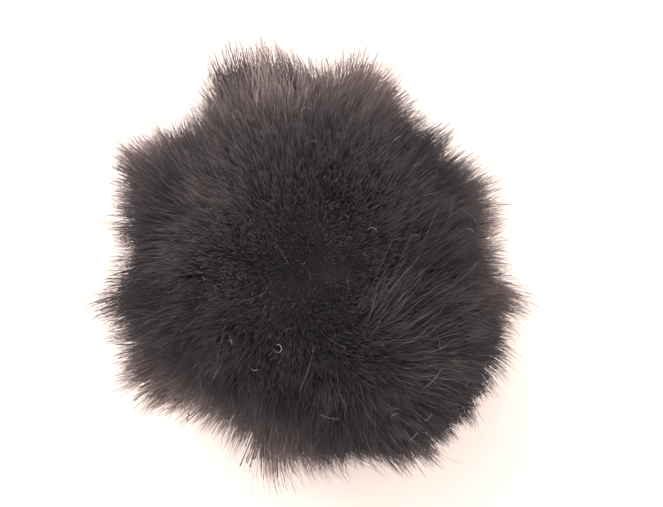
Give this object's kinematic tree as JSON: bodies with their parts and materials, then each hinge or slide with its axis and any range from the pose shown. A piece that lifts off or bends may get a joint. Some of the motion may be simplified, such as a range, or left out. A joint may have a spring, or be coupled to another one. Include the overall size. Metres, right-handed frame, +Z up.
{
  "type": "fur pom pom",
  "caption": "Fluffy black fur pom pom: one soft, slightly uneven ball of long radiating pile with tufts and partings, resting on a small flat spot.",
  "frame": {"origin": "on the surface the ball rests on, below the middle of its box", "axes": "+Z up; +Y towards the longer pile at the back, +X to the right as seen from the front"},
  "size_m": [0.098, 0.1008, 0.0913],
  "materials": {
    "fur": "long soft black fur pile, softly glossy along the hairs, browner and greyer at the tips"
  },
  "bodies": {
    "root": {"pom_pom": "fur"}
  },
  "joints": []
}
